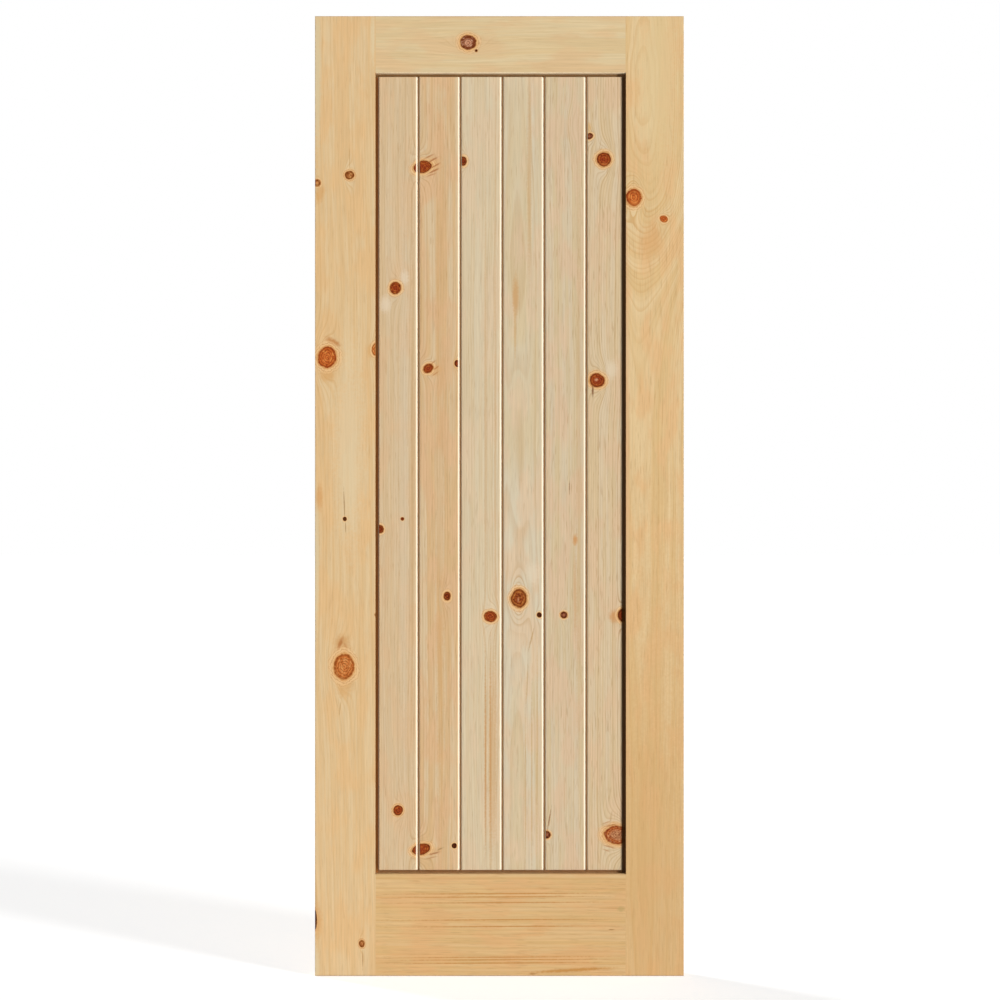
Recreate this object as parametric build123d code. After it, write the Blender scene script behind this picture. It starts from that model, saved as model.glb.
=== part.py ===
"""Barn door slab: a pine frame of two stiles and two rails round a panel of V-jointed boards.

The frame is mortised and tenoned. Its inner edges are ploughed with one continuous groove, and
the panel floats in that groove on a tongue cut round the boards. The boards join edge to edge by
tongue and groove, with a V on both faces. Both faces of the door are alike.

Frame of reference: millimetres, +Z up, front face towards -Y, left stile at -X. The origin is on
the top edge, in the middle of the door's width and thickness.
"""

import os

from build123d import *

# Slab
DOOR_HEIGHT = 2134.0
DOOR_WIDTH = 820.0
DOOR_THICKNESS = 35.0
FRAME_ARRIS = 1.2  # eased corner round the slab's rim and round the panel opening

# Frame members, seen from the front
LEFT_STILE_WIDTH = 135.0
RIGHT_STILE_WIDTH = 129.5
TOP_RAIL_WIDTH = 126.5
BOTTOM_RAIL_WIDTH = 227.0

# Mortise and tenon joints between rails and stiles
TENON_THICKNESS = 12.0
TENON_LENGTH = 70.0
TENON_SETBACK = 24.0  # from the rail's outer edge, and from its panel groove
JOINT_CLEARANCE = 0.1  # on each cheek of a tenon or haunch
MORTISE_SPARE_DEPTH = 1.5

# Groove in the frame and the panel tongue that floats in it
PANEL_TONGUE_THICKNESS = 8.0
PANEL_TONGUE_CLEARANCE = 0.2  # on each face of the tongue
PANEL_GROOVE_DEPTH = 13.0
PANEL_EXPANSION_GAP = 3.0  # left empty at the sides and the top of the panel
REVEAL = 7.0  # between the frame's edge and the raised field of the boards

# Panel boards
BOARD_COUNT = 6
BOARD_THICKNESS = 20.0
LAST_BOARD_TRIM = 5.5  # ripped off the last board so that the panel fits
BOARD_ARRIS = 0.8
VEE_WIDTH = 9.5  # across both chamfers of one joint
BOARD_TONGUE_THICKNESS = 6.0
BOARD_TONGUE_LENGTH = 7.0
BOARD_TONGUE_CLEARANCE = 0.2
BOARD_JOINT_GAP = 0.3  # at the foot of each V

# Edges of the slab and of the opening that the panel fills
slab_left = -DOOR_WIDTH / 2
slab_right = DOOR_WIDTH / 2
slab_bottom = -DOOR_HEIGHT
opening_left = slab_left + LEFT_STILE_WIDTH
opening_right = slab_right - RIGHT_STILE_WIDTH
opening_top = -TOP_RAIL_WIDTH
opening_bottom = slab_bottom + BOTTOM_RAIL_WIDTH
opening_width = opening_right - opening_left
opening_height = opening_top - opening_bottom

panel_groove_width = PANEL_TONGUE_THICKNESS + 2 * PANEL_TONGUE_CLEARANCE
panel_tongue_reach = PANEL_GROOVE_DEPTH - PANEL_EXPANSION_GAP
board_pitch = (opening_width + LAST_BOARD_TRIM) / BOARD_COUNT


def block(left, right, bottom, top, thickness):
    """A plain block between four edges, centred in the door's thickness."""
    centre = ((left + right) / 2, 0, (bottom + top) / 2)
    return Pos(*centre) * Box(right - left, thickness, top - bottom)


def frame_blank():
    """The slab with the panel opening cut out of it, eased along every rim, before it is parted."""
    slab = block(slab_left, slab_right, slab_bottom, 0, DOOR_THICKNESS)
    faces = slab.faces().sort_by(Axis.Y)
    slab = chamfer(faces[0].edges() + faces[-1].edges(), FRAME_ARRIS)
    slab -= block(opening_left, opening_right, opening_bottom, opening_top, DOOR_THICKNESS)

    for side in (-1, 1):
        centre = (
            (opening_left + opening_right) / 2,
            side * (DOOR_THICKNESS / 2 - FRAME_ARRIS),
            (opening_bottom + opening_top) / 2,
        )
        throat = Plane(centre, x_dir=(1, 0, 0), z_dir=(0, side, 0))
        outline = throat * Rectangle(opening_width, opening_height)
        slab -= extrude(outline, FRAME_ARRIS, taper=-45)
    return slab


def tenon_span(rail_bottom, rail_top, outer_edge_is_top):
    """Lowest and highest point of a rail's main tenon."""
    outer, inner = TENON_SETBACK, PANEL_GROOVE_DEPTH + TENON_SETBACK
    if outer_edge_is_top:
        return rail_bottom + inner, rail_top - outer
    return rail_bottom + outer, rail_top - inner


top_tenon = tenon_span(opening_top, 0, True)
bottom_tenon = tenon_span(slab_bottom, opening_bottom, False)


def stile(blank, outer_edge, inner_edge):
    """A full-height stile with its panel groove and a blind mortise for each rail."""
    inward = 1 if inner_edge > outer_edge else -1
    left, right = sorted((outer_edge, inner_edge))
    member = blank & block(left, right, slab_bottom, 0, DOOR_THICKNESS)

    left, right = sorted((inner_edge, inner_edge - inward * PANEL_GROOVE_DEPTH))
    member -= block(left, right, slab_bottom, 0, panel_groove_width)

    mortise_end = inner_edge - inward * (TENON_LENGTH + MORTISE_SPARE_DEPTH)
    left, right = sorted((inner_edge, mortise_end))
    for low, high in (bottom_tenon, top_tenon):
        member -= block(
            left,
            right,
            low - JOINT_CLEARANCE,
            high + JOINT_CLEARANCE,
            TENON_THICKNESS + 2 * JOINT_CLEARANCE,
        )
    return member


def rail(blank, bottom, top, outer_edge_is_top):
    """A rail between the stiles: panel groove along its inner edge, haunch and tenon at each end."""
    member = blank & block(opening_left, opening_right, bottom, top, DOOR_THICKNESS)

    if outer_edge_is_top:
        groove = (bottom, bottom + PANEL_GROOVE_DEPTH)
        haunch = (groove[1], top)
    else:
        groove = (top - PANEL_GROOVE_DEPTH, top)
        haunch = (bottom, groove[0])
    member -= block(opening_left, opening_right, *groove, panel_groove_width)

    haunch_thickness = panel_groove_width - 2 * JOINT_CLEARANCE
    left = opening_left - PANEL_GROOVE_DEPTH
    right = opening_right + PANEL_GROOVE_DEPTH
    member += block(left, right, *haunch, haunch_thickness)

    tenon = tenon_span(bottom, top, outer_edge_is_top)
    left = opening_left - TENON_LENGTH
    right = opening_right + TENON_LENGTH
    member += block(left, right, *tenon, TENON_THICKNESS)
    return member


def framed_edge(frame_edge, inward):
    """Half outline, from the mid-plane out, of a board edge that is held in a stile."""
    tip = frame_edge - inward * panel_tongue_reach
    shoulder = frame_edge + inward * REVEAL
    return [
        (tip, 0),
        (tip, PANEL_TONGUE_THICKNESS / 2),
        (shoulder, PANEL_TONGUE_THICKNESS / 2),
        (shoulder, BOARD_THICKNESS / 2 - BOARD_ARRIS),
        (shoulder + inward * BOARD_ARRIS, BOARD_THICKNESS / 2),
    ]


def grooved_edge(joint):
    """Half outline, from the mid-plane out, of a board's left edge at a V joint."""
    edge = joint + BOARD_JOINT_GAP / 2
    floor = edge + BOARD_TONGUE_LENGTH
    groove_half = BOARD_TONGUE_THICKNESS / 2 + BOARD_TONGUE_CLEARANCE
    return [
        (floor, 0),
        (floor, groove_half),
        (edge, groove_half),
        (edge, BOARD_THICKNESS / 2 - VEE_WIDTH / 2),
        (edge + VEE_WIDTH / 2, BOARD_THICKNESS / 2),
    ]


def tongued_edge(joint):
    """Half outline, from the mid-plane out, of a board's right edge at a V joint."""
    edge = joint - BOARD_JOINT_GAP / 2
    tip = edge + BOARD_TONGUE_LENGTH
    return [
        (tip, 0),
        (tip, BOARD_TONGUE_THICKNESS / 2),
        (edge, BOARD_TONGUE_THICKNESS / 2),
        (edge, BOARD_THICKNESS / 2 - VEE_WIDTH / 2),
        (edge - VEE_WIDTH / 2, BOARD_THICKNESS / 2),
    ]


def end_rebate(frame_edge, upward, end):
    """Cutter that leaves a tongue on the boards' ends, at one rail and on one face."""
    shoulder = frame_edge - upward * REVEAL
    face = BOARD_THICKNESS / 2
    outline = Polyline(
        (0, PANEL_TONGUE_THICKNESS / 2, shoulder),
        (0, face - BOARD_ARRIS, shoulder),
        (0, face, shoulder - upward * BOARD_ARRIS),
        (0, DOOR_THICKNESS / 2, shoulder - upward * BOARD_ARRIS),
        (0, DOOR_THICKNESS / 2, end),
        (0, PANEL_TONGUE_THICKNESS / 2, end),
        close=True,
    )
    return extrude(make_face(outline), DOOR_WIDTH / 2, dir=(1, 0, 0), both=True)


def panel_board(number):
    """One board of the panel, numbered from 1 at the left stile."""
    left_joint = opening_left + (number - 1) * board_pitch
    right_joint = opening_left + number * board_pitch
    left = framed_edge(opening_left, 1) if number == 1 else grooved_edge(left_joint)
    right = framed_edge(opening_right, -1) if number == BOARD_COUNT else tongued_edge(right_joint)
    half = make_face(Polyline(*left, *reversed(right), close=True))
    section = half + mirror(half, Plane.XZ)

    foot = opening_bottom - PANEL_GROOVE_DEPTH  # the board stands on the floor of the groove
    head = opening_top + panel_tongue_reach
    board = extrude(Pos(0, 0, foot) * section, head - foot)
    for frame_edge, upward, end in ((opening_top, 1, head), (opening_bottom, -1, foot)):
        rebate = end_rebate(frame_edge, upward, end)
        board -= rebate + mirror(rebate, Plane.XZ)
    return board


def main():
    blank = frame_blank()
    nodes = {
        "left_stile": stile(blank, slab_left, opening_left),
        "right_stile": stile(blank, slab_right, opening_right),
        "top_rail": rail(blank, opening_top, 0, True),
        "bottom_rail": rail(blank, slab_bottom, opening_bottom, False),
    }
    for number in range(1, BOARD_COUNT + 1):
        nodes[f"panel_board_{number}"] = panel_board(number)

    os.makedirs("parts", exist_ok=True)
    for name, shape in nodes.items():
        export_step(shape, f"parts/{name}.step")
        print(name, round(shape.volume), "mm3")


main()
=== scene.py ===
# %% [markdown]
# # A barn door slab in knotty pine
# The door comes from CAD as ten solids: two stiles, two rails and six boards with V joints. Their
# shapes are finished, so this lesson is about the rest: a camera, a studio, and above all wood that
# looks sawn from a tree.

# %% Load the door
import math
from collections import namedtuple

import bpy
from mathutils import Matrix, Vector


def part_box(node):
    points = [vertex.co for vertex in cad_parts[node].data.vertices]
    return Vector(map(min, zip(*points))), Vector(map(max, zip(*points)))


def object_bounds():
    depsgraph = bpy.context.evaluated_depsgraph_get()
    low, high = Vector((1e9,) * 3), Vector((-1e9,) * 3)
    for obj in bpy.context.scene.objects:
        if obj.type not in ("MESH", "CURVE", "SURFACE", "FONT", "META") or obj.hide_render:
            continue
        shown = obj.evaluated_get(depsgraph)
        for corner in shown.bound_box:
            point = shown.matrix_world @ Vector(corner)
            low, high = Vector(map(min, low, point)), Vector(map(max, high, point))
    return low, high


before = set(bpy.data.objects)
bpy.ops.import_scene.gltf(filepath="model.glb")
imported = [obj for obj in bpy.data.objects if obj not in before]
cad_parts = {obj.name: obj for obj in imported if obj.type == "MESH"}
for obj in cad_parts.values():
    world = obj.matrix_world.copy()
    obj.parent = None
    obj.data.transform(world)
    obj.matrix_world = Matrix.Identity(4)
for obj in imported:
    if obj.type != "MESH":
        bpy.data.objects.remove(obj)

cad_low, cad_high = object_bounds()
print("loaded", len(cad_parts), "nodes,", [round(side, 4) for side in cad_high - cad_low], "m")

# %% [markdown]
# ## The camera
# The door was photographed square on, from far enough away that its edges stay parallel. A camera
# could be dragged about until the picture fits, but the fit can be worked out: the door's edges in
# the square picture, in pixels, give the size of one pixel on the door's face, and so the width of
# view and the lens that a chosen distance needs.

# %% Place the camera
PICTURE_SIDE = 1000
DOOR_LEFT_PX, DOOR_RIGHT_PX = 314.75, 684.0
DOOR_TOP_PX, DOOR_BOTTOM_PX = 16.0, 976.0
CAMERA_DISTANCE = 4.0
SENSOR_MM = 36

door_middle = (cad_low + cad_high) / 2
pixel = (cad_high.z - cad_low.z) / (DOOR_BOTTOM_PX - DOOR_TOP_PX)
aim_right = (PICTURE_SIDE - DOOR_LEFT_PX - DOOR_RIGHT_PX) / 2 * pixel
aim_down = (PICTURE_SIDE - DOOR_TOP_PX - DOOR_BOTTOM_PX) / 2 * pixel

bpy.ops.object.camera_add(
    location=(door_middle.x + aim_right, cad_low.y - CAMERA_DISTANCE, door_middle.z - aim_down),
    rotation=(math.radians(90), 0, 0),
)
camera = bpy.context.object
camera.data.sensor_width = SENSOR_MM
camera.data.lens = SENSOR_MM * CAMERA_DISTANCE / (PICTURE_SIDE * pixel)
bpy.context.scene.camera = camera
print(f"one pixel is {pixel * 1000:.3f} mm, the lens is {camera.data.lens:.1f} mm")

# %% [markdown]
# ## One helper for all nodes
# Every material here is a net of nodes. Nodes can be placed by hand in the shader editor; in a script
# the same three things are done for each one: add it, set its options, and give its sockets a value
# or a link. One small function does that, and hands back the output that the next node needs.

# %% The node helper
def add_node(tree, kind, inputs=None, out=0, **options):
    """Adds a node, sets its options, fills its sockets with values or links, gives back one output."""
    node = tree.nodes.new(kind)
    for name, value in options.items():
        setattr(node, name, value)
    for socket, value in (inputs or {}).items():
        if isinstance(value, bpy.types.NodeSocket):
            tree.links.new(value, node.inputs[socket])
        else:
            node.inputs[socket].default_value = value
    return node.outputs[out] if node.outputs else node


# %% [markdown]
# ## Colours as the eye names them
# A colour picked from a picture is an sRGB value, but a shader calculates in linear light. This
# function turns a hex value into the linear colour that a socket expects, so that every colour below
# can be read and compared with the real wood.

# %% The colour helper
def srgb(code):
    """Linear colour with alpha 1 for an sRGB hex value such as #dcbb88."""
    shares = [int(code[place:place + 2], 16) / 255 for place in (1, 3, 5)]
    linear = [s / 12.92 if s <= 0.04045 else ((s + 0.055) / 1.055) ** 2.4 for s in shares]
    return (*linear, 1.0)


print("mid grey #808080 is", round(srgb("#808080")[0], 3), "in linear light")

# %% [markdown]
# ## The world
# In a white studio the walls send a little light from everywhere, which keeps shadows open. A world
# colour gives that fill. It is low here, so that the lamps shape the wood. The camera and reflections
# look at the same world and should find it white, so the Light Path node raises the strength to 1
# for those rays only.

# %% White studio walls
STUDIO_FILL = 0.16

world = bpy.data.worlds.new("white_studio")
world.use_nodes = True
world.node_tree.nodes.clear()
bpy.context.scene.world = world


def seen_directly(tree):
    """1 for rays of the camera, of reflections and of clear glass, 0 for rays that carry light."""
    seen = add_node(tree, "ShaderNodeLightPath", out="Is Camera Ray")
    rays = seen.node.outputs
    for kind in ("Is Glossy Ray", "Is Transmission Ray"):
        seen = add_node(tree, "ShaderNodeMath", {0: seen, 1: rays[kind]}, operation="MAXIMUM")
    return seen


studio = world.node_tree
brightness = add_node(studio, "ShaderNodeMapRange", {
    "Value": seen_directly(studio),
    "To Min": STUDIO_FILL,
    "To Max": 1.0,
})
walls = add_node(studio, "ShaderNodeBackground", {"Color": srgb("#ffffff"), "Strength": brightness})
add_node(studio, "ShaderNodeOutputWorld", {"Surface": walls})
bpy.context.scene.view_settings.view_transform = "Standard"
print("the walls fill at", STUDIO_FILL, "and look white")

# %% [markdown]
# ## The lamps
# In the photograph one side of each V joint is almost white and the other is brown, evenly from the
# top of the door to its foot. So the key light stands to the right, well round the side, and is tall.
# One big area lamp near the door would be brighter at one end; a column of sun lamps is the same all
# over, because a sun is infinitely far away. Each sun has a wide disc, so that its shadow is soft, and
# a second column lights the back in the same way.

# %% A tall strip light on each side
KEY_FROM_SIDE = math.radians(56)  # turned away from straight in front of the door
KEY_HEIGHTS = (-30, -15, 0, 15, 30)  # degrees above the horizon
KEY_DISC = math.radians(9)
FACE_LEVEL = 0.68  # the strip's share of the light that would show a colour as written

levels = [math.cos(math.radians(height)) for height in KEY_HEIGHTS]
sun_power = FACE_LEVEL * math.pi / (sum(levels) * math.cos(KEY_FROM_SIDE))
for side, turn in (("front", 0), ("back", math.pi)):
    for height, level in zip(KEY_HEIGHTS, levels):
        to_right = math.sin(KEY_FROM_SIDE + turn) * level
        to_back = -math.cos(KEY_FROM_SIDE + turn) * level
        to_lamp = Vector((to_right, to_back, math.sin(math.radians(height))))
        bpy.ops.object.light_add(type="SUN", rotation=to_lamp.to_track_quat("Z", "Y").to_euler())
        lamp = bpy.context.object
        lamp.name = f"strip_light_{side}_{height}"
        lamp.data.energy = sun_power
        lamp.data.angle = KEY_DISC
print(2 * len(KEY_HEIGHTS), "suns of", round(sun_power, 3), "W per square metre")

# %% [markdown]
# ## The floor
# The door stands on a plain pale floor. Paper in a studio is lit until it is white; here the floor
# adds a little glow for the camera instead, so that it goes white without more light on the door, and
# still takes the door's shadow. The low lamps of the strip shine up from under floor level, so the
# floor is told not to throw shadows itself.

# %% Lay the floor
FLOOR_SIDE = 60
FLOOR_GAP = 0.001
FLOOR_GLOW = 0.62  # just enough for white, so that the door's shadow still shows
PAPER_WHITE = "#e4e4e4"

bpy.ops.mesh.primitive_plane_add(size=FLOOR_SIDE, location=(0, 0, cad_low.z - FLOOR_GAP))
floor = bpy.context.object
floor.name = "studio_floor"
floor.visible_shadow = False

paper = bpy.data.materials.new("matt_white_paper")
paper.use_nodes = True
sheet = paper.node_tree
sheet.nodes.clear()
strength = add_node(
    sheet, "ShaderNodeMath", {0: seen_directly(sheet), 1: FLOOR_GLOW}, operation="MULTIPLY"
)
glow = add_node(sheet, "ShaderNodeEmission", {"Color": srgb("#ffffff"), "Strength": strength})
matt = add_node(sheet, "ShaderNodeBsdfDiffuse", {"Color": srgb(PAPER_WHITE)})
both = add_node(sheet, "ShaderNodeAddShader", {0: glow, 1: matt})
add_node(sheet, "ShaderNodeOutputMaterial", {"Surface": both})
floor.data.materials.append(paper)
print("floor laid at", round(floor.location.z, 4), "m")

# %% [markdown]
# ## A tape measure for the wood
# Patterns in wood have real sizes, so they are drawn in millimetres. A Mapping node turns Object
# coordinates into a tape measure: first value across the door from its middle, second through its
# thickness, third down from its top edge. In a rail the grain lies across the door, so there the
# Mapping is turned by a right angle, and the first value is the one down the door. Everything after
# that can be drawn once, as if grain always ran along the third value. The last line prints where the
# tape reads the door's middle.

# %% Tape measure
MM_PER_M = 1000


def tape_measure(tree, grain):
    """A point in millimetres, as (across the grain, through the thickness, along the grain)."""
    place = add_node(tree, "ShaderNodeTexCoord", out="Object")
    if grain == "upright":
        scale, turn = (MM_PER_M, MM_PER_M, -MM_PER_M), (0, 0, 0)
    else:
        scale, turn = (-MM_PER_M, MM_PER_M, -MM_PER_M), (0, math.radians(90), 0)
    return add_node(tree, "ShaderNodeMapping", {"Vector": place, "Scale": scale, "Rotation": turn})


def by_grain(grain, across_door, depth, down_door):
    """A place or a size on the door's face, put in the order that the tape measure gives."""
    return (across_door, depth, down_door) if grain == "upright" else (down_door, depth, across_door)


reading = (door_middle.x * MM_PER_M, -door_middle.z * MM_PER_M)
print("the door's middle reads", [round(value, 1) for value in reading], "mm across and down")

# %% [markdown]
# ## Knots part the grain
# A knot is a branch that the trunk grew round, so the grain parts before it and closes behind it, as
# water does round a stone. Painting each line by hand would take for ever. Instead each knot moves
# the coordinates that the grain is drawn with: most at its rim, and less with every knot's width
# away. The trunk's rings also bulge over the branch, which gives the arcs round it, and they are
# darker there. A node group is the right tool, because it is built once and used for every knot. It
# takes what the knots before it have done, and adds its own.

# %% A group that parts the grain round one knot
def start_group(name, takes, gives):
    """An empty node group with the sockets that it takes and gives, and what it takes."""
    group = bpy.data.node_groups.new(name, "ShaderNodeTree")
    for direction, sockets in (("INPUT", takes), ("OUTPUT", gives)):
        for label, kind in sockets.items():
            group.interface.new_socket(label, in_out=direction, socket_type="NodeSocket" + kind)
    return group, group.nodes.new("NodeGroupInput").outputs


knot_flow, taken = start_group("grain_parting_at_knot", {
    "Point": "Vector", "Centre": "Vector", "Half size": "Vector", "Tilt": "Float",
    "Part": "Float", "Rise": "Float", "Darken": "Float",
    "Shift": "Float", "Bulge": "Float", "Boost": "Float",
}, {"Shift": "Float", "Bulge": "Float", "Boost": "Float", "Reach": "Float"})


def in_ellipse(tree, taken):
    """Offset from a mark's centre, the same in half sizes, and the reach: 0 at the centre, 1 at the rim."""
    offset = add_node(
        tree, "ShaderNodeVectorMath", {0: taken["Point"], 1: taken["Centre"]}, operation="SUBTRACT"
    )
    turned = add_node(
        tree, "ShaderNodeVectorRotate", {0: offset, "Angle": taken["Tilt"]}, rotation_type="Y_AXIS"
    )
    ratio = add_node(tree, "ShaderNodeVectorMath", {0: turned, 1: taken["Half size"]}, operation="DIVIDE")
    reach = add_node(tree, "ShaderNodeVectorMath", {0: ratio}, out="Value", operation="LENGTH")
    return offset, ratio, reach


# The parted grain is a spindle, longer along the grain than the knot that it goes round, and its
# strength falls off with this power of the distance.
SPINDLE = (0.95, 1.0, 0.45)
SPINDLE_FALL = 3.0

offset, ratio, reach = in_ellipse(knot_flow, taken)
spindle = add_node(knot_flow, "ShaderNodeVectorMath", {0: ratio, 1: SPINDLE}, operation="MULTIPLY")
spread = add_node(knot_flow, "ShaderNodeVectorMath", {0: spindle}, out="Value", operation="LENGTH")
fall = add_node(knot_flow, "ShaderNodeMath", {0: spread, 1: SPINDLE_FALL}, operation="POWER")
raised = add_node(knot_flow, "ShaderNodeMath", {0: fall, 1: 1.0}, operation="ADD")
near = add_node(knot_flow, "ShaderNodeMath", {0: 1.0, 1: raised}, operation="DIVIDE")

across = add_node(knot_flow, "ShaderNodeSeparateXYZ", {0: offset})
push = add_node(knot_flow, "ShaderNodeMath", {0: across, 1: taken["Part"]}, operation="MULTIPLY")
grown = {}
for label, amount in (("Shift", push), ("Bulge", taken["Rise"]), ("Boost", taken["Darken"])):
    grown[label] = add_node(
        knot_flow, "ShaderNodeMath", {0: near, 1: amount, 2: taken[label]}, operation="MULTIPLY_ADD"
    )
add_node(knot_flow, "NodeGroupOutput", {**grown, "Reach": reach})
print("knot flow group:", len(knot_flow.nodes), "nodes")

# %% [markdown]
# ## Sawn from a log
# The lines on a board are growth rings, cut lengthwise. A stripe texture would do from far away, but
# rings drawn as cylinders round the log's heart give everything at once: straight lines where the cut
# is steep, pointed arches where it grazes a ring, and curved rings on the end grain. Noise makes the
# trunk wander. Each year pale early wood turns slowly into darker late wood and stops at once in
# winter, and no two years are alike.

# %% A group that draws growth rings
WANDER_SIZE = (110.0, 110.0, 480.0)  # how soon the trunk swings sideways, in mm
WANDER = 14.0
LATE_WOOD_STARTS, LATE_WOOD_FULL = 0.4, 0.9  # parts of a year's growth
POOR_YEAR = 0.2  # how dark the faintest line is beside the darkest

pine_grain, taken = start_group("flat_sawn_pine", {
    "Point": "Vector", "Bulge": "Float", "Boost": "Float",
    "Ring": "Float", "Line": "Float", "Fleck": "Float",
    "Pale": "Color", "Tan": "Color", "Blush": "Color", "Late": "Color",
}, {"Color": "Color", "Relief": "Float"})


def soft_noise(tree, point, size, detail):
    """Noise whose blobs have that size in millimetres."""
    scaled = add_node(tree, "ShaderNodeVectorMath", {0: point, 1: size}, operation="DIVIDE")
    return add_node(tree, "ShaderNodeTexNoise", {"Vector": scaled, "Scale": 1.0, "Detail": detail})


sway = soft_noise(pine_grain, taken["Point"], WANDER_SIZE, 2.0)
swing = add_node(
    pine_grain, "ShaderNodeMath", {0: sway, 1: WANDER, 2: taken["Bulge"]}, operation="MULTIPLY_ADD"
)
flat = add_node(
    pine_grain, "ShaderNodeVectorMath", {0: taken["Point"], 1: (1, 1, 0)}, operation="MULTIPLY"
)
straight = add_node(pine_grain, "ShaderNodeVectorMath", {0: flat}, out="Value", operation="LENGTH")
radius = add_node(pine_grain, "ShaderNodeMath", {0: straight, 1: swing}, operation="ADD")
age = add_node(pine_grain, "ShaderNodeMath", {0: radius, 1: taken["Ring"]}, operation="DIVIDE")
season = add_node(pine_grain, "ShaderNodeMath", {0: age}, operation="FRACT")
year = add_node(pine_grain, "ShaderNodeMath", {0: age}, operation="FLOOR")

late = 1.0
for start in (LATE_WOOD_STARTS, 1.0):
    part = add_node(pine_grain, "ShaderNodeMapRange", {
        "Value": season,
        "From Min": start,
        "From Max": LATE_WOOD_FULL,
    }, interpolation_type="SMOOTHSTEP")
    late = add_node(pine_grain, "ShaderNodeMath", {0: late, 1: part}, operation="MULTIPLY")
luck = add_node(pine_grain, "ShaderNodeTexWhiteNoise", {"W": year}, noise_dimensions="1D")
good_year = add_node(pine_grain, "ShaderNodeMapRange", {"Value": luck, "To Min": POOR_YEAR})
late = add_node(pine_grain, "ShaderNodeMath", {0: late, 1: good_year}, operation="MULTIPLY")
print("growth rings:", len(pine_grain.nodes), "nodes so far")

# %% [markdown]
# ## The colours of the wood
# Between the lines, pine is never one colour. Bands of pale sapwood and tan heartwood lie in the
# rings, soft clouds blush warmer, bundles of fibres are lighter or darker, and resin canals leave
# short flecks. Each is one noise texture at its own size, laid over the last, in the same group. A
# small function lays one tint over a colour, and the groups below use it too.

# %% Bands, clouds, fibres and flecks
BAND_SIZE = (11.0, 1.0, 650.0)
CLOUD_SIZE = (40.0, 40.0, 110.0)
FIBRE_SIZE = (3.0, 3.0, 90.0)  # a fibre is 0.03 mm wide, too fine to show, so bundles are drawn
FLECK_SIZE = (2.0, 2.0, 38.0)  # a resin canal is 0.2 mm wide, drawn coarser so that it shows
FLECK_COLOR = "#a8773f"
FIBRE_DARK, FIBRE_LIGHT = 0.94, 1.06
NOISE_LOW, NOISE_MIDDLE, NOISE_HIGH = 0.25, 0.5, 0.75  # most of a noise texture lies between these
LATE_WOOD_RISE = 0.6  # how far late wood stands up, beside the fibres


def layer(tree, under, follows, start, end, most, tint):
    """Lays a tint over a colour where a value goes from start to end, up to a greatest strength."""
    cover = add_node(tree, "ShaderNodeMapRange", {
        "Value": follows,
        "From Min": start,
        "From Max": end,
        "To Max": most,
    }, interpolation_type="SMOOTHSTEP")
    return add_node(tree, "ShaderNodeMix", {0: cover, 6: under, 7: tint}, out=2, data_type="RGBA")


along = add_node(pine_grain, "ShaderNodeSeparateXYZ", {0: taken["Point"]}, out="Z")
in_ring = add_node(pine_grain, "ShaderNodeCombineXYZ", {"X": radius, "Z": along})
color = taken["Pale"]
for place, size, detail, low, high, most, tint in (
    (in_ring, BAND_SIZE, 3.0, 0.38, 0.62, 0.8, taken["Tan"]),
    (taken["Point"], CLOUD_SIZE, 3.0, 0.43, 0.63, 0.9, taken["Blush"]),
    (taken["Point"], FLECK_SIZE, 1.0, 0.58, 0.72, taken["Fleck"], srgb(FLECK_COLOR)),
):
    blobs = soft_noise(pine_grain, place, size, detail)
    color = layer(pine_grain, color, blobs, low, high, most, tint)

contrast = add_node(pine_grain, "ShaderNodeMath", {0: taken["Line"], 1: taken["Boost"]}, operation="ADD")
line = add_node(
    pine_grain, "ShaderNodeMath", {0: late, 1: contrast}, operation="MULTIPLY", use_clamp=True
)
color = add_node(
    pine_grain, "ShaderNodeMix", {0: line, 6: color, 7: taken["Late"]}, out=2, data_type="RGBA"
)
fibre = soft_noise(pine_grain, taken["Point"], FIBRE_SIZE, 2.0)
shade = add_node(pine_grain, "ShaderNodeMapRange", {
    "Value": fibre,
    "From Min": NOISE_LOW,
    "From Max": NOISE_HIGH,
    "To Min": FIBRE_DARK,
    "To Max": FIBRE_LIGHT,
})
color = add_node(pine_grain, "ShaderNodeMix", {
    0: 1.0,
    6: color,
    7: shade,
}, out=2, data_type="RGBA", blend_type="MULTIPLY")
relief = add_node(
    pine_grain, "ShaderNodeMath", {0: late, 1: LATE_WOOD_RISE, 2: fibre}, operation="MULTIPLY_ADD"
)
add_node(pine_grain, "NodeGroupOutput", {"Color": color, "Relief": relief})
print("pine group:", len(pine_grain.nodes), "nodes")

# %% [markdown]
# ## The face of a knot
# A sawn knot shows the branch's own rings round its heart, specks of bark, lighter spots and a dark
# rim. Outside the rim comes a fringe that is orange with resin, then a pale collar, in which the
# trunk's rings are pressed together into a few arcs. Everything follows one number, the reach: 0 in
# the middle of the knot and 1 at its rim. Broad noise pulls the outline out of round, and fine noise
# makes it uneven.

# %% A group that paints one knot
KNOT_FRINGE, KNOT_COLLAR, KNOT_ARC = "#d79b5a", "#eec38c", "#b4763c"
KNOT_RING = 5.0  # a branch's rings are about 1 mm wide, drawn coarser so that they show
OUT_OF_ROUND, UNEVEN, RING_BEND = 0.45, 0.2, 6.0
ARCS_END, ARCS_FULL = 2.0, 1.2  # reach at which the pressed rings have gone, and at which they are full

knot_face, taken = start_group("knot_face", {
    "Color": "Color", "Reach": "Float", "Width": "Float", "Drift": "Float", "Ripple": "Float",
    "Heart": "Color", "Rim": "Color", "Glow": "Color", "Dark": "Color",
}, {"Color": "Color"})

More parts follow.
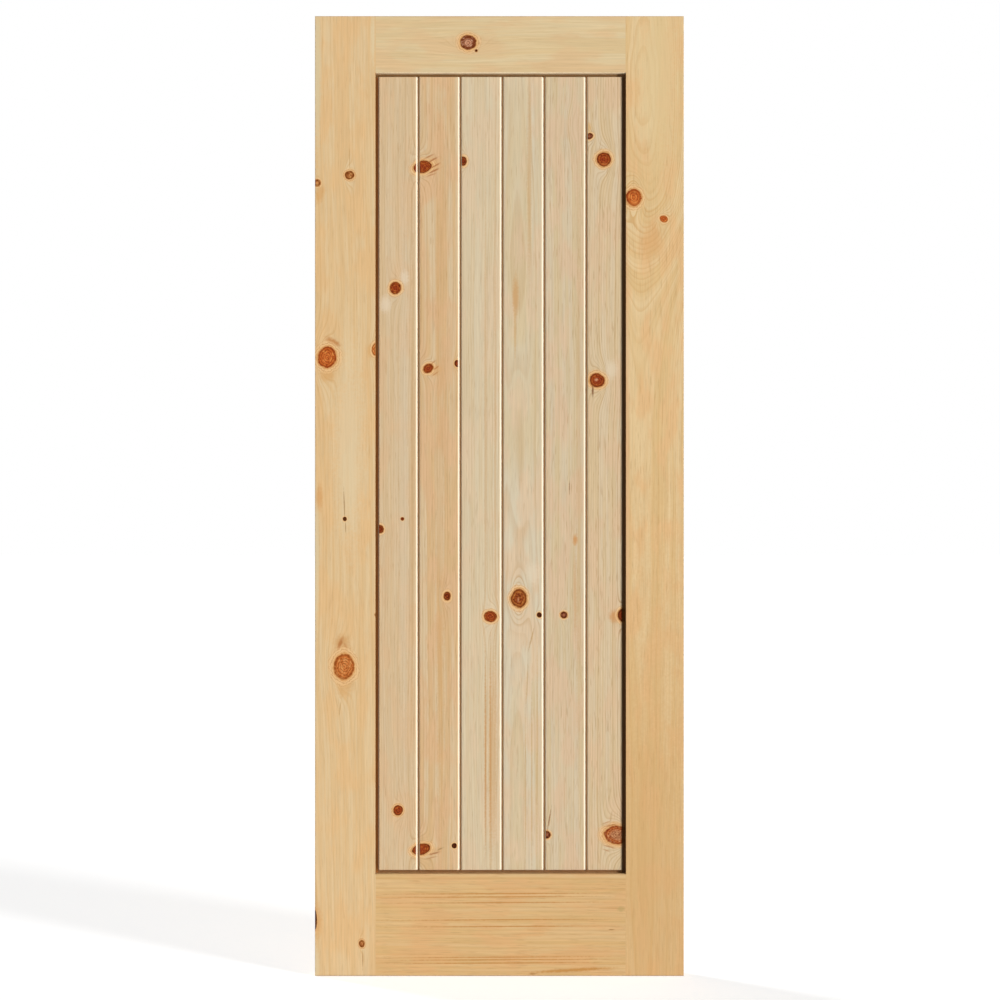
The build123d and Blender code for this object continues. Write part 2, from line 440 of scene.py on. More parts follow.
edge = taken["Reach"]
for noise, amount in (("Drift", OUT_OF_ROUND), ("Ripple", UNEVEN)):
    rough = add_node(knot_face, "ShaderNodeMath", {0: taken[noise], 1: NOISE_MIDDLE}, operation="SUBTRACT")
    edge = add_node(knot_face, "ShaderNodeMath", {0: rough, 1: amount, 2: edge}, operation="MULTIPLY_ADD")
from_heart = add_node(knot_face, "ShaderNodeMath", {0: edge, 1: taken["Width"]}, operation="MULTIPLY")
turns = add_node(
    knot_face, "ShaderNodeMath", {0: from_heart, 1: math.tau / KNOT_RING}, operation="MULTIPLY"
)
bent = add_node(
    knot_face, "ShaderNodeMath", {0: taken["Ripple"], 1: RING_BEND, 2: turns}, operation="MULTIPLY_ADD"
)
rings = add_node(knot_face, "ShaderNodeMath", {0: bent}, operation="SINE")
pressed = add_node(knot_face, "ShaderNodeMapRange", {
    "Value": edge,
    "From Min": ARCS_END,
    "From Max": ARCS_FULL,
})
arcs = add_node(knot_face, "ShaderNodeMath", {0: rings, 1: pressed}, operation="MULTIPLY")

# Each line: what the layer follows, where it starts and where it is full, its strength, its tint.
heart = taken["Heart"]
for follows, start, end, most, tint in (
    (edge, 0.4, 0.72, 1.0, taken["Rim"]),  # outer wood of the branch
    (taken["Ripple"], 0.5, 0.66, 0.8, taken["Glow"]),  # lighter spots
    (rings, 0.0, 1.0, 0.7, taken["Dark"]),  # the branch's rings
    (taken["Ripple"], 0.46, 0.3, 0.8, taken["Dark"]),  # specks of bark
    (edge, 0.78, 0.95, 0.6, taken["Dark"]),  # dark rim
):
    heart = layer(knot_face, heart, follows, start, end, most, tint)

color = taken["Color"]
for follows, start, end, most, tint in (
    (edge, 1.75, 1.2, 0.85, srgb(KNOT_COLLAR)),
    (arcs, 0.1, 1.0, 0.6, srgb(KNOT_ARC)),
    (edge, 1.28, 1.0, 0.9, srgb(KNOT_FRINGE)),
    (edge, 1.07, 0.95, 1.0, heart),
):
    color = layer(knot_face, color, follows, start, end, most, tint)
add_node(knot_face, "NodeGroupOutput", {"Color": color})
print("knot face group:", len(knot_face.nodes), "nodes")

# %% [markdown]
# ## Streaks and stains
# Resin colours the wood in places: orange stripes that follow the grain, stains beside a knot, pale
# clouds, thin dark checks where the wood has split. Each is a soft ellipse of a tint, so one group
# serves for all. A streak is drawn in the parted coordinates, so that it goes round the knots with
# the grain; a stain stays where it is.

# %% A group that lays one soft tint
TINT_UNEVEN = 0.7
TINT_ENDS, TINT_FULL = 1.0, 0.2  # reach at which the tint has gone, and at which it is full

resin_tint, taken = start_group("resin_tint", {
    "Color": "Color", "Point": "Vector", "Centre": "Vector", "Half size": "Vector", "Tilt": "Float",
    "Ripple": "Float", "Tint": "Color", "Strength": "Float",
}, {"Color": "Color"})

offset, ratio, reach = in_ellipse(resin_tint, taken)
rough = add_node(
    resin_tint, "ShaderNodeMath", {0: taken["Ripple"], 1: NOISE_MIDDLE}, operation="SUBTRACT"
)
edge = add_node(
    resin_tint, "ShaderNodeMath", {0: rough, 1: TINT_UNEVEN, 2: reach}, operation="MULTIPLY_ADD"
)
color = layer(resin_tint, taken["Color"], edge, TINT_ENDS, TINT_FULL, taken["Strength"], taken["Tint"])
add_node(resin_tint, "NodeGroupOutput", {"Color": color})
print("tint group:", len(resin_tint.nodes), "nodes")

# %% [markdown]
# ## How far from the panel's opening
# Two layers of painted shade below need to know where a point lies beside the opening that the frame
# leaves for the panel. The opening's edges are measured from the CAD nodes. Folding the coordinates
# about its middle makes left and right alike, and taking half its size away leaves a distance: below
# zero inside the opening, zero at its edge, above zero on the frame.

# %% Measure the opening
opening_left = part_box("left_stile")[1].x * MM_PER_M
opening_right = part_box("right_stile")[0].x * MM_PER_M
opening_top = -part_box("top_rail")[0].z * MM_PER_M
opening_bottom = -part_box("bottom_rail")[1].z * MM_PER_M
opening_middle = ((opening_left + opening_right) / 2, 0, (opening_top + opening_bottom) / 2)
opening_half = ((opening_right - opening_left) / 2, 0, (opening_bottom - opening_top) / 2)


def past_opening(tree, point):
    """Distance past the opening's sides, depth without its sign, and distance past its ends, in mm."""
    offset = add_node(tree, "ShaderNodeVectorMath", {0: point, 1: opening_middle}, operation="SUBTRACT")
    folded = add_node(tree, "ShaderNodeVectorMath", {0: offset}, operation="ABSOLUTE")
    past = add_node(tree, "ShaderNodeVectorMath", {0: folded, 1: opening_half}, operation="SUBTRACT")
    return add_node(tree, "ShaderNodeSeparateXYZ", {0: past}).node.outputs


print("the opening is", [round(2 * half, 2) for half in opening_half], "mm")

# %% [markdown]
# ## Cuts in the boards
# A board's faces have turned honey-coloured in the light. The V joints were cut later and are paler,
# and that pale colour is partly a painted highlight on the lit side of each V. Low on the V's wall that
# faces away from the key light on the front, a brown is painted shade. The rebate at the panel's rim,
# down beside the frame, is painted shade in brown as well. All of these lie lower than the face, so
# depth picks them out, on both faces of the board alike, and on the back the painted shade of each V
# falls on its lit side. The rim and each board's groove are then found by their place. Beside the left
# stile the painted shade stops short of the board, so its width is a setting.

# %% A group that colours the cuts of a board and paints shade in them
REVEAL = 7.0  # between the frame's edge and the raised field of the boards
GROOVE_SHADE_REACH = 2.8  # how far the painted shade goes up the groove's side, measured across the door
BOARD_FACE = 10.0  # half the board's thickness, in mm
CUT_STARTS, CUT_FULL = BOARD_FACE - 0.5, BOARD_FACE - 1.0  # depths at which the cut colours come in
CUT_STRENGTH = 0.9
SOFT_EDGE = 0.4
# pale cut wood, partly a painted highlight on the lit wall of each V, and painted shade low on the other
# wall
FRESH_CUT_AND_HIGHLIGHT, GROOVE_SIDE_PAINTED_SHADE = "#e6d8c0", "#c4905c"
# painted shade in the rebate at the panel's foot and head
REBATE_FOOT_SHADE, REBATE_HEAD_SHADE = "#a4764a", "#876136"

board_cuts_and_shade, taken = start_group("cuts_in_board_and_shade", {
    "Color": "Color", "Point": "Vector", "Groove": "Float", "Rebate": "Color", "Rebate width": "Float",
}, {"Color": "Color"})
past_side, level, past_end = past_opening(board_cuts_and_shade, taken["Point"])
tape = add_node(board_cuts_and_shade, "ShaderNodeSeparateXYZ", {0: taken["Point"]}).node.outputs
up_groove = add_node(
    board_cuts_and_shade, "ShaderNodeMath", {0: tape["X"], 1: taken["Groove"]}, operation="SUBTRACT"
)
in_rebate = add_node(
    board_cuts_and_shade, "ShaderNodeMath", {0: past_side, 1: taken["Rebate width"]}, operation="ADD"
)

head = opening_top + REVEAL
cut = srgb(FRESH_CUT_AND_HIGHLIGHT)
for follows, start, end, tint in (
    # painted shade low on the V's wall that faces away from the key light
    (up_groove, GROOVE_SHADE_REACH, GROOVE_SHADE_REACH - SOFT_EDGE, srgb(GROOVE_SIDE_PAINTED_SHADE)),
    # painted shade in the rebate at the foot, beside the frame's sides, and at the head of the panel
    (past_end, -REVEAL - SOFT_EDGE, -REVEAL, srgb(REBATE_FOOT_SHADE)),
    (in_rebate, -SOFT_EDGE, 0.0, taken["Rebate"]),
    (tape["Z"], head + SOFT_EDGE, head, srgb(REBATE_HEAD_SHADE)),
):
    cut = layer(board_cuts_and_shade, cut, follows, start, end, 1.0, tint)
color = layer(board_cuts_and_shade, taken["Color"], level, CUT_STARTS, CUT_FULL, CUT_STRENGTH, cut)
add_node(board_cuts_and_shade, "NodeGroupOutput", {"Color": color})
print("cut group:", len(board_cuts_and_shade.nodes), "nodes")

# %% [markdown]
# ## The inner edge of a stile
# Where a stile goes down to the panel, a thin brown edge of painted shade runs along its corner beside
# the opening, like the painted shade in the rebate, and stops where the rails meet the stile.

# %% A group that paints shade on an inner edge
EDGE_ENDS, EDGE_FULL = 1.6, 0.2  # mm from the opening
# painted shade along the stile's corner beside the opening
EDGE_PAINTED_SHADE = "#7a5026"

inner_edge_shade, taken = start_group(
    "painted_shade_on_inner_edge", {"Color": "Color", "Point": "Vector"}, {"Color": "Color"}
)
past = past_opening(inner_edge_shade, taken["Point"])
nearest = add_node(inner_edge_shade, "ShaderNodeMath", {0: past["X"], 1: past["Z"]}, operation="MAXIMUM")
color = layer(inner_edge_shade, taken["Color"], nearest, EDGE_ENDS, EDGE_FULL, 1.0, srgb(EDGE_PAINTED_SHADE))
add_node(inner_edge_shade, "NodeGroupOutput", {"Color": color})
print("inner edge group:", len(inner_edge_shade.nodes), "nodes")

# %% [markdown]
# ## Marks on a piece
# Each piece gets a list of marks. A knot parts the grain and shows its face, a swirl only bends the
# rings, as near a branch that was sawn off, a streak and a stain only tint. All are given as on a
# drawing of the door's face: how far across from the middle, how far down from the top edge, half
# their width and height in millimetres, and a tilt in degrees.

# %% Kinds of marks
Knot = namedtuple("Knot", "across down half_width half_height tilt tone")
Swirl = namedtuple("Swirl", "across down half_width half_height tilt rise darken")
Streak = namedtuple("Streak", "across down half_width half_height tilt tint strength")
Stain = namedtuple("Stain", "across down half_width half_height tilt tint strength")
KnotTone = namedtuple("KnotTone", "heart rim glow dark")

THROUGH = 10000  # a mark runs right through the wood, so its size through the thickness has no end
KNOT_PART, KNOT_RISE, KNOT_DARKEN = 0.9, 1.6, 0.5  # the rise is in half widths of the knot


def placed(grain, mark):
    """Where a mark lies, for a group that takes a centre, a half size and a tilt."""
    return {
        "Centre": by_grain(grain, mark.across, 0, mark.down),
        "Half size": by_grain(grain, mark.half_width, THROUGH, mark.half_height),
        "Tilt": math.radians(-mark.tilt if grain == "upright" else mark.tilt),
    }


def part_grain(tree, grain, point, marks):
    """Chains the knots and swirls, and gives back what they do together and each one's reach."""
    grown = {"Shift": 0.0, "Bulge": 0.0, "Boost": 0.0}
    reach_of = {}
    for mark in marks:
        if isinstance(mark, Knot):
            rise = KNOT_RISE * mark.half_width
            strength = {"Part": KNOT_PART, "Rise": rise, "Darken": KNOT_DARKEN}
        elif isinstance(mark, Swirl):
            strength = {"Part": 0.0, "Rise": mark.rise, "Darken": mark.darken}
        else:
            continue
        flow = {"Point": point, **placed(grain, mark), **strength, **grown}
        reach_of[mark] = add_node(tree, "ShaderNodeGroup", flow, out="Reach", node_tree=knot_flow)
        grown = {label: reach_of[mark].node.outputs[label] for label in grown}
    return grown, reach_of


# %% [markdown]
# ## Dressing a piece in pine
# Now a whole piece: tape measure, knots that part the grain, log, grain, then its marks one over the
# other as a painter would lay them. The log is placed by a Mapping node: how far its heart lies from
# the piece, and how it leans. The surface is planed and sanded, with no varnish: satin at most, so
# its roughness is high and its specular level low, and the late wood stands up by a hair.

# %% The dressing function
Log = namedtuple("Log", "across depth along lean_side lean_back ring")
Tones = namedtuple("Tones", "pale tan blush late line fleck")

DRIFT_SIZE = (26.0, 26.0, 26.0)
RIPPLE_SIZE = (5.0, 5.0, 5.0)
EARLY_ROUGHNESS, LATE_ROUGHNESS = 0.66, 0.54  # sanded wood, late wood rubbed a little smoother
WOOD_IOR, WOOD_SPECULAR = 1.5, 0.1
RELIEF_STRENGTH, RELIEF_HEIGHT = 0.25, 0.0003  # height in metres


def dress_in_pine(name, grain, log, tones, marks, cuts_and_shade=None):
    """Gives one node its own pine: how it was sawn, its tones, its marks, and the colours and painted shade
    of its cuts or edges.
    """
    material = bpy.data.materials.new("sanded_knotty_pine_" + name)
    material.use_nodes = True
    tree = material.node_tree
    tree.nodes.clear()
    point = tape_measure(tree, grain)
    grown, reach_of = part_grain(tree, grain, point, marks)
    sideways = add_node(tree, "ShaderNodeCombineXYZ", {"X": grown["Shift"]})
    parted = add_node(tree, "ShaderNodeVectorMath", {0: point, 1: sideways}, operation="SUBTRACT")
    in_log = add_node(tree, "ShaderNodeMapping", {
        "Vector": parted,
        "Location": (log.across, log.depth, log.along),
        "Rotation": (math.radians(log.lean_back), math.radians(log.lean_side), 0),
    }, vector_type="TEXTURE")
    color = add_node(tree, "ShaderNodeGroup", {
        "Point": in_log,
        "Bulge": grown["Bulge"],
        "Boost": grown["Boost"],
        "Ring": log.ring,
        "Line": tones.line,
        "Fleck": tones.fleck,
        "Pale": srgb(tones.pale),
        "Tan": srgb(tones.tan),
        "Blush": srgb(tones.blush),
        "Late": srgb(tones.late),
    }, node_tree=pine_grain)
    relief = color.node.outputs["Relief"]

    drift = soft_noise(tree, point, DRIFT_SIZE, 1.0)
    ripple = soft_noise(tree, point, RIPPLE_SIZE, 3.0)
    for mark in marks:
        if isinstance(mark, Knot):
            tone = {label.capitalize(): srgb(code) for label, code in mark.tone._asdict().items()}
            shape = {"Reach": reach_of[mark], "Width": mark.half_width, "Drift": drift, "Ripple": ripple}
            face = {"Color": color, **shape, **tone}
            color = add_node(tree, "ShaderNodeGroup", face, node_tree=knot_face)
        elif isinstance(mark, (Streak, Stain)):
            tint = {"Ripple": ripple, "Tint": srgb(mark.tint), "Strength": mark.strength}
            lies_in = parted if isinstance(mark, Streak) else point
            patch = {"Color": color, "Point": lies_in, **placed(grain, mark), **tint}
            color = add_node(tree, "ShaderNodeGroup", patch, node_tree=resin_tint)
    if cuts_and_shade:
        group, settings = cuts_and_shade
        cuts = {"Color": color, "Point": point, **settings}
        color = add_node(tree, "ShaderNodeGroup", cuts, node_tree=group)

    # Bare sanded wood: the eye sees a matt board, with a soft gleam along the harder late wood.
    normal = add_node(tree, "ShaderNodeBump", {
        "Height": relief,
        "Strength": RELIEF_STRENGTH,
        "Distance": RELIEF_HEIGHT,
    })
    roughness = add_node(tree, "ShaderNodeMapRange", {
        "Value": relief,
        "To Min": EARLY_ROUGHNESS,
        "To Max": LATE_ROUGHNESS,
    })
    surface = add_node(tree, "ShaderNodeBsdfPrincipled", {
        "Base Color": color,
        "Roughness": roughness,
        "IOR": WOOD_IOR,
        "Specular IOR Level": WOOD_SPECULAR,
        "Normal": normal,
    })
    add_node(tree, "ShaderNodeOutputMaterial", {"Surface": surface})
    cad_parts[name].material_slots[0].material = material
    print(name, "dressed with", len(marks), "marks and", len(tree.nodes), "nodes")


# %% [markdown]
# ## Kinds of knots
# Live branches leave red-brown knots, grown together with the wood. Thick ones on the stiles are
# orange with fine rings. Small ones are often a dark ring round a paler heart. Pin knots of thin
# twigs are nearly black. Naming these few kinds once keeps the lists of marks readable.

# %% Name the kinds of knots
ORANGE_KNOT = KnotTone("#cf7a3c", "#c87134", "#e09c5a", "#86400f")
FIERY_KNOT = KnotTone("#cc6a2d", "#bf6024", "#e08c44", "#82300a")
RED_KNOT = KnotTone("#9a3c17", "#a04818", "#c26c2b", "#521802")
BROWN_KNOT = KnotTone("#944318", "#a45822", "#c27c3a", "#582205")
DARK_KNOT = KnotTone("#853210", "#80380f", "#a4541f", "#3c1001")
PIN_KNOT = KnotTone("#4a1800", "#562404", "#70400e", "#220800")
PALE_RING_KNOT = KnotTone("#c8824a", "#8f4d1c", "#d8a05c", "#6e3408")
DARK_RING_KNOT = KnotTone("#99583a", "#60260a", "#ad7048", "#451604")
PINK_KNOT = KnotTone("#d09370", "#7e3c18", "#d6a482", "#642c10")
BURL_KNOT = KnotTone("#bd8358", "#b8622e", "#d8a06e", "#742809")
print("a red knot is", RED_KNOT.heart, "inside and", RED_KNOT.dark, "in its rings")

# %% [markdown]
# ## The left stile
# A wide, honey-yellow board from near the middle of its tree: two big orange knots with fine rings
# and a flame of resin above each, smaller ones along the edges, and a black pin knot with a check.
# Its outer edge is pale sapwood in places, and its foot is darker along the bottom edge.

# %% Dress the left stile
# a darker line along the bottom edge of the door
FOOT_EDGE_DARK, FOOT_DOWN = "#8f6a3a", 2135

dress_in_pine(
    "left_stile", "upright",
    Log(-455, 60, 0, 0.3, 1.0, 6.0),
    Tones("#e2c598", "#deba87", "#e3bc88", "#cd9d5c", 0.25, 0.15),
    [
        Streak(-404, 130, 11, 280, 0, "#dac9a2", 0.75),
        Streak(-405, 1230, 8, 240, 0, "#dccba5", 0.65),
        Streak(-406, 2110, 10, 60, 0, "#dccba5", 0.6),
        Streak(-281, 55, 6, 90, 0, "#e4d2aa", 0.6),
        Streak(-335, 960, 50, 330, 0, "#e2cda6", 0.6),
        Stain(-370, 724, 26, 9, -28, "#bd7c40", 0.85),
        Stain(-383, 796, 26, 26, 0, "#d69f5c", 0.6),
        Stain(-350, 1394, 26, 26, 0, "#cd924f", 0.5),
        Stain(-354, 1396, 6, 22, -20, "#b06c36", 0.75),
        Stain(-341, 1403, 4, 14, 25, "#b9773e", 0.6),
        Stain(-344, 1492, 26, 34, 0, "#d6a05e", 0.55),
        Stain(-398, 396, 14, 30, -15, "#d59d5b", 0.55),
        Stain(-400, 1070, 11, 42, 0, "#d3944f", 0.5),
        Stain(-403, 2012, 12, 52, 0, "#d39a58", 0.55),
        Stain(-286, 744, 12, 24, 0, "#d9a562", 0.6),
        Knot(-332.7, 354, 10.4, 10.4, 0, PALE_RING_KNOT),
        Stain(-333, 314, 1.5, 36, 0, "#b58448", 0.6),
        Knot(-405.0, 371, 7.6, 7.6, 0, PALE_RING_KNOT),
        Knot(-382.8, 759, 21.5, 23, 0, FIERY_KNOT),
        Knot(-274, 741, 9, 13, 0, ORANGE_KNOT),
        Knot(-343.5, 1118, 4.4, 4.8, 0, PIN_KNOT),
        Stain(-345, 1084, 1.7, 46, 2, "#8d5c2a", 0.75),
        Stain(-342, 1137, 1.5, 16, 0, "#8d5c2a", 0.6),
        Knot(-274, 1331, 2.8, 3.4, 0, PIN_KNOT),
        Knot(-345.5, 1446, 22.5, 28.5, 0, ORANGE_KNOT),
        Stain(-354, 1538, 1.5, 26, -8, "#b98a50", 0.6),
        Knot(-305.8, 2062, 6.5, 8.6, 0, PALE_RING_KNOT),
        Stain(-304, 2098, 1.6, 30, 0, "#a5692f", 0.6),
        Knot(-409.5, 2009, 3.4, 21, 0, PIN_KNOT),
        Stain(-340, FOOT_DOWN, 400, 3.5, 0, FOOT_EDGE_DARK, 0.85),
    ],
    (inner_edge_shade, {}),
)

# %% [markdown]
# ## The right stile
# The same honey-yellow. Above its two knots the rings show as straight lines; below the knots they
# come up to the face and end in a nest of bowls. A row of wide swirls, one over the other, sinks the
# rings evenly over the upper part of the stile, and the bowls come where the row ends. Towards the
# foot the wood turns darker, and the outer corner is worn grey.

# %% Dress the right stile
SUNK_RINGS_DOWN = (-140, -40, 60, 160, 260, 360, 460)

dress_in_pine(
    "right_stile", "upright",
    Log(318, 60, 680, 0, -0.3, 3.6),
    Tones("#e5c898", "#ddba83", "#e5bc88", "#cb9854", 0.3, 0.25),
    [
        *[Swirl(326, down, 400, 60, 0, -33, 0.04) for down in SUNK_RINGS_DOWN],
        Streak(345, 2134, 170, 1300, 0, "#d2a46a", 0.45),
        Streak(355, 120, 70, 330, 0, "#e2c998", 0.6),
        Streak(284, 1000, 7, 1000, 0, "#e0b085", 0.5),
        Stain(338, 500, 34, 70, 0, "#d79d5c", 0.4),
        Knot(299.2, 403, 16.6, 19, 0, FIERY_KNOT),
        Stain(300, 392, 12, 8, 0, "#8f3c14", 0.4),
        Stain(301, 415, 12, 8, 0, "#dc8640", 0.6),
        Knot(365.5, 451, 8.6, 7.2, -25, FIERY_KNOT),
        Stain(411, 1067, 3, 4000, 0, "#9a7f52", 0.9),
        Stain(340, FOOT_DOWN, 400, 3.5, 0, FOOT_EDGE_DARK, 0.85),
    ],
    (inner_edge_shade, {}),
)

# %% [markdown]
# ## The top rail
# The rails lie across the door. The top one is quiet and greyish-yellow, with one big knot whose
# heart has gone grey-pink inside a dark ring of bark, and a tiny twig beside it. The pale line along
# its lower corner is a painted highlight.

# %% Dress the top rail
dress_in_pine(
    "top_rail", "level",
    Log(170, 60, 0, 0.2, 0.4, 6.0),
    Tones("#e0c99e", "#dcc090", "#dfbe90", "#cda870", 0.12, 0.1),
    [
        Knot(-70, 59, 18.2, 16.4, 0, PINK_KNOT),
        Knot(-51.5, 77, 2.8, 2.8, 0, PIN_KNOT),
        # a painted highlight along the rail's lower corner
        Stain(3, 127, 600, 3, 0, "#fbe8c6", 0.9),
    ],
)

# %% [markdown]
# ## The bottom rail
# The bottom rail is wide and more orange, with long level lines of late wood and a wedge of dark
# heartwood that runs out along its lower edge.

# %% Dress the bottom rail
LATE_LINES_DOWN = (1951, 1958, 1971, 2009, 2024, 2092, 2098, 2105)

dress_in_pine(
    "bottom_rail", "level",
    Log(1830, 60, 0, 0.3, 0.5, 9.0),
    Tones("#debb88", "#d8b279", "#deb27d", "#c68f4c", 0.28, 0.25),
    [
        *[Streak(3, down, 330, 2.2, 0.3, "#c38642", 0.75) for down in LATE_LINES_DOWN],
        Streak(160, 2121, 125, 6, 3, "#c0853a", 0.75),
        Streak(75, 2129, 14, 3, 0, "#a86f30", 0.6),
        Stain(270, 1985, 13, 9, 0, "#b9a067", 0.6),
        Stain(250, 2031, 11, 2, 0, "#9a6a34", 0.7),
        Stain(3, FOOT_DOWN, 900, 3.5, 0, FOOT_EDGE_DARK, 0.85),
    ],
)

# %% [markdown]
# ## The first board
# The boards are paler and greyer than the frame, each from another tree. The one beside the left
# stile has a grey-white band and a tan stripe at its right edge. Two of its knots lie across the
# joint, so its neighbour gets them too.

# %% Dress board 1
# painted shade in the side rebate: lighter and narrower beside the left stile, darker beside the right
LEFT_REBATE_SHADE, RIGHT_REBATE_SHADE = "#be7a38", "#704618"
LEFT_REBATE_SHADE_WIDTH = 4.2

groove_of = {}
for number in range(1, 7):
    groove_of[number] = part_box(f"panel_board_{number}")[0].x * MM_PER_M


def cuts_from(groove, rebate=RIGHT_REBATE_SHADE, width=REVEAL):
    """The colours of one board's cuts: where its groove starts, and the painted shade in its side rebate,
    its colour and width.
    """
    return board_cuts_and_shade, {"Groove": groove, "Rebate": srgb(rebate), "Rebate width": width}


joint_knots = [
    Knot(-170.5, 334, 20.5, 12.6, 17, RED_KNOT),
    Knot(-173.8, 1854, 20.5, 12.6, 13, RED_KNOT),
]
print("left edges of the boards:", [round(edge, 2) for edge in groove_of.values()])

dress_in_pine(
    "panel_board_1", "upright",
    Log(-150, 45, 300, 0.2, 0.5, 5.0),
    Tones("#dac19c", "#d6b98f", "#dcbb92", "#be9668", 0.35, 0.25),
    [
        Streak(-194, 1000, 6, 1000, 0, "#c8a06e", 0.45),
        Streak(-214, 1000, 15, 1000, 0, "#dacbb0", 0.35),
        Stain(-254, 640, 18, 28, 0, "#e8d6bb", 0.6),
        Stain(-211, 580, 14, 22, 0, "#e8d6bb", 0.6),
        Knot(-231.6, 604, 12.6, 13, 0, RED_KNOT),
        Knot(-266.3, 1141, 8.6, 8.8, 0, DARK_KNOT),
        Knot(-215.9, 1118, 3.6, 3.8, 0, DARK_KNOT),
        Knot(-225.2, 1767, 10.4, 11.1, 0, RED_KNOT),
        *joint_knots,
    ],
    cuts_from(opening_left - REVEAL, LEFT_REBATE_SHADE, LEFT_REBATE_SHADE_WIDTH),
)

# %% [markdown]
# ## The second board
# The warmest of the six, with a broad orange stripe from top to bottom and small, nearly black knots.
# Three knots were cut aslant, and the branch leaves a fan of thin strokes on the wood beside them.

# %% Dress board 2
edge_knot = Knot(-93.7, 772, 6, 7.4, 0, DARK_KNOT)

dress_in_pine(
    "panel_board_2", "upright",
    Log(-225, 40, 900, -0.2, 0.6, 5.0),
    Tones("#dbc29c", "#d6b07e", "#ddb68b", "#bc8e58", 0.35, 0.25),
    [
        Streak(-132, 1000, 15, 1200, 0, "#cf9f66", 0.3),
        Streak(-130, 1500, 11, 420, 0, "#cfa062", 0.25),
        Stain(-150, 330, 30, 24, 24, "#dba76c", 0.6),
        Stain(-144, 787, 22, 17, 30, "#dba86e", 0.6),
        Stain(-146, 1858, 26, 15, 15, "#d6a56e", 0.5),
        *joint_knots,
        Stain(-157, 311, 17, 2.8, 26, "#b0703c", 0.7),
        Stain(-148, 318, 18, 3.0, 28, "#a86434", 0.8),
        Stain(-142, 331, 17, 2.8, 30, "#a86434", 0.75),
        Stain(-146, 343, 20, 3.0, 26, "#a4602f", 0.8),
        Stain(-152, 352, 18, 2.6, 20, "#b57644", 0.6),
        Stain(-146, 1863, 20, 2.8, 15, "#9c5c30", 0.7),
        Stain(-132, 1853, 11, 2.6, 24, "#a07a48", 0.65),
        Stain(-150, 1872, 17, 2.4, 12, "#b27444", 0.55),
        Knot(-158.6, 783, 12.3, 9.8, 30, RED_KNOT),
        Stain(-147, 769, 11, 2.4, 36, "#bb7a42", 0.65),
        Stain(-141, 782, 12, 2.4, 38, "#b57038", 0.7),
        Stain(-143, 795, 13, 2.4, 34, "#bb7a42", 0.65),
        edge_knot,
        Knot(-116.1, 1290, 8.4, 10.2, 0, DARK_KNOT),
        Knot(-100.6, 1846, 5.4, 5.6, 0, PIN_KNOT),
    ],
    cuts_from(groove_of[2]),
)

# %% [markdown]
# ## The third board
# Pale, with thin orange stripes right of its middle that widen into arches below the one big knot.

# %% Dress board 3
dress_in_pine(
    "panel_board_3", "upright",
    Log(45, 50, 500, 0.3, 0.7, 5.0),
    Tones("#dbcaaa", "#d8c29d", "#dec6a4", "#c29c6c", 0.35, 0.2),
    [
        Streak(-31, 1000, 4, 1000, 0, "#cba06c", 0.4),
        Streak(-9, 1000, 4, 1000, 0, "#cba06c", 0.4),
        Streak(-31, 1660, 3, 300, 0, "#c68e54", 0.75),
        Streak(-20, 1650, 3, 330, 0, "#c68e54", 0.75),
        edge_knot,
        Knot(-81, 321, 9, 10.7, 0, DARK_KNOT),
        Knot(-19.8, 1335, 13.1, 11.8, -15, RED_KNOT),
        Streak(-15, 1650, 14, 300, 0, "#cc9c62", 0.45),
    ],
    cuts_from(groove_of[3]),
)

# %% [markdown]
# ## The fourth board
# Its biggest knot is brown and ringed by arcs. Higher up an orange streak tapers out and the rings
# open below it into an arch.

# %% Dress board 4
dress_in_pine(
    "panel_board_4", "upright",
    Log(40, 45, 1000, 0, 0.7, 5.0),
    Tones("#d9cbaf", "#d6c097", "#dec4a2", "#c29c6c", 0.3, 0.2),
    [
        Swirl(40, 1000, 24, 124, 0, 14, 0.15),
        Streak(67, 350, 7, 320, 0, "#cba06c", 0.5),
        Streak(36, 622, 10, 66, 0, "#cda06a", 0.8),
        Streak(35, 700, 4, 90, 0, "#cda672", 0.65),
        Stain(75, 1240, 22, 36, 0, "#e8d8bd", 0.5),
        Knot(42.9, 1295, 16.6, 20.6, 0, BROWN_KNOT),
        Stain(42, 1298, 3, 8, 0, "#cc8c60", 0.7),
        Knot(89, 1332, 5, 5.6, 0, PIN_KNOT),
        Stain(71, 1386, 2.2, 40, -14, "#b58a52", 0.6),
        Stain(62, 1480, 2.2, 70, -2, "#bd945c", 0.5),
        Streak(58, 1720, 2.6, 260, 0, "#c49a60", 0.5),
        Streak(72, 1700, 2.6, 300, 0, "#c49a60", 0.5),
        Streak(84, 1640, 2.6, 300, 0, "#c49a60", 0.5),
    ],
    cuts_from(groove_of[4]),
)

# %% [markdown]
# ## The fifth board
# A tan stripe at its right edge, an orange resin pocket with a streak below, and two small ringed
# knots, the lower one with a check running up from it.

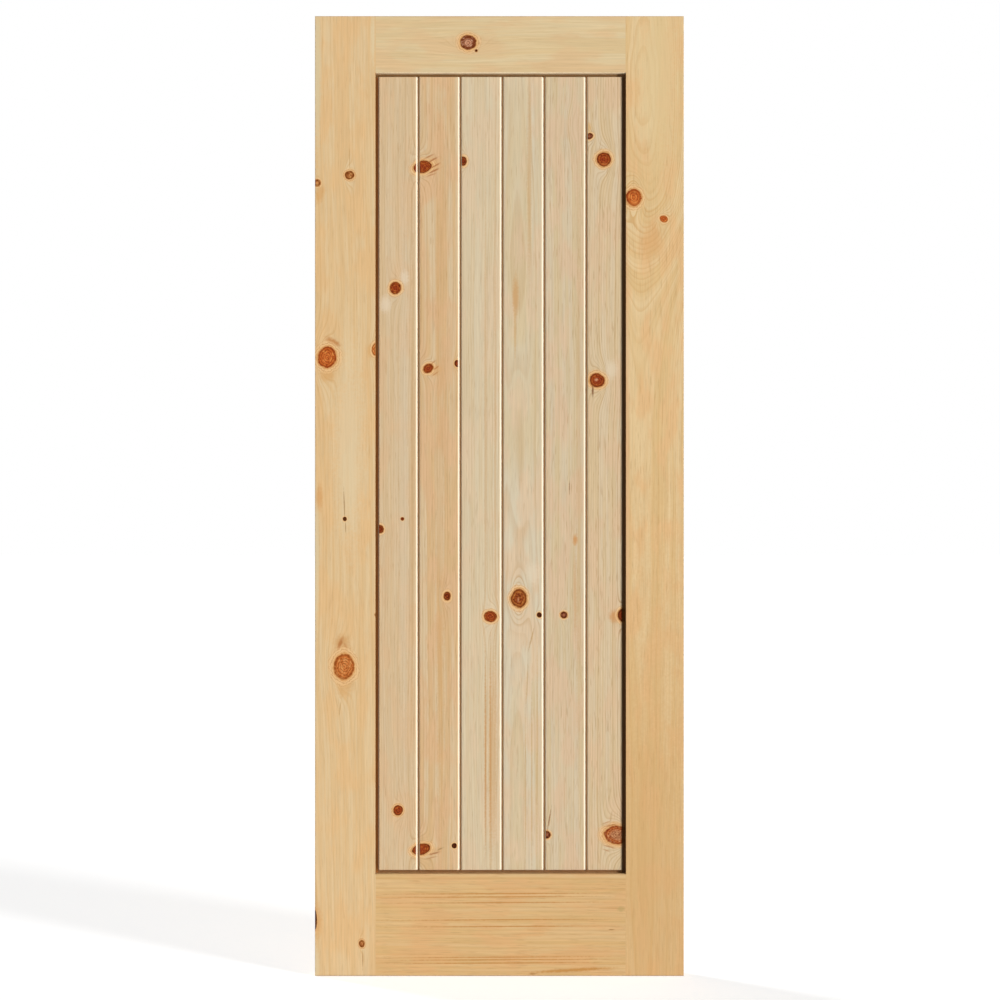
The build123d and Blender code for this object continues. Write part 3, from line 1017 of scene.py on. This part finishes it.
# %% Dress board 5
dress_in_pine(
    "panel_board_5", "upright",
    Log(65, 50, 200, -0.2, 0.4, 4.8),
    Tones("#d8c6a7", "#d5be95", "#dcbf9d", "#bd9666", 0.3, 0.3),
    [
        Swirl(160, 241, 14, 18, 0, 10, 0.3),
        Streak(177, 1000, 9, 1000, 0, "#c9a271", 0.35),
        Stain(169, 1165, 8, 18, 0, "#cf8f4c", 0.75),
        Streak(168, 1290, 6, 130, 0, "#cf9a60", 0.5),
        Stain(156, 1048, 1.6, 24, 0, "#8a5a30", 0.7),
        Knot(143.5, 1332, 7.6, 7.6, 0, DARK_RING_KNOT),
        Knot(105.9, 1821, 8, 8.2, 0, DARK_RING_KNOT),
        Stain(111, 1788, 2.2, 38, -10, "#8a4a20", 0.7),
    ],
    cuts_from(groove_of[5]),
)

# %% [markdown]
# ## The sixth board
# The narrowest and knottiest, with the finest lines. Two of its knots are cut off by the frame: a
# dark one halfway down, and a burl near the foot with curled rings of red and orange.

# %% Dress board 6
dress_in_pine(
    "panel_board_6", "upright",
    Log(325, 45, 700, 0.2, 0.9, 4.8),
    Tones("#dcc7a5", "#d8be94", "#dec09b", "#b48a5a", 0.5, 0.35),
    [
        Stain(200, 246, 8, 16, 0, "#d8a860", 0.6),
        Knot(200.1, 266, 8.6, 6.4, 15, DARK_RING_KNOT),
        Knot(232.1, 317, 16.2, 14.8, 0, RED_KNOT),
        Stain(234, 328, 11, 5, 0, "#c06a34", 0.6),
        Stain(250, 785, 18, 30, 0, "#e8d8bd", 0.5),
        Knot(217.8, 809, 17, 15, 0, RED_KNOT),
        Stain(216, 808, 6, 4.5, 20, "#d89c74", 0.8),
        Stain(208, 832, 3.2, 20, 0, "#7a4a24", 0.9),
        Stain(257, 1335, 20, 20, 0, "#cd8f50", 0.7),
        Knot(276, 1333, 12, 14, 0, DARK_KNOT),
        Stain(238, 1824, 20, 24, 0, "#d09a62", 0.6),
        Knot(262, 1822, 28, 19.5, 0, BURL_KNOT),
        Stain(249, 1800, 20, 2.4, 14, "#a8622e", 0.65),
        Stain(239, 1794, 16, 2.2, 20, "#b87844", 0.55),
        Stain(245, 1848, 19, 2.4, -15, "#ac6632", 0.6),
        Stain(238, 1856, 15, 2.2, -20, "#b87844", 0.5),
    ],
    cuts_from(groove_of[6]),
)
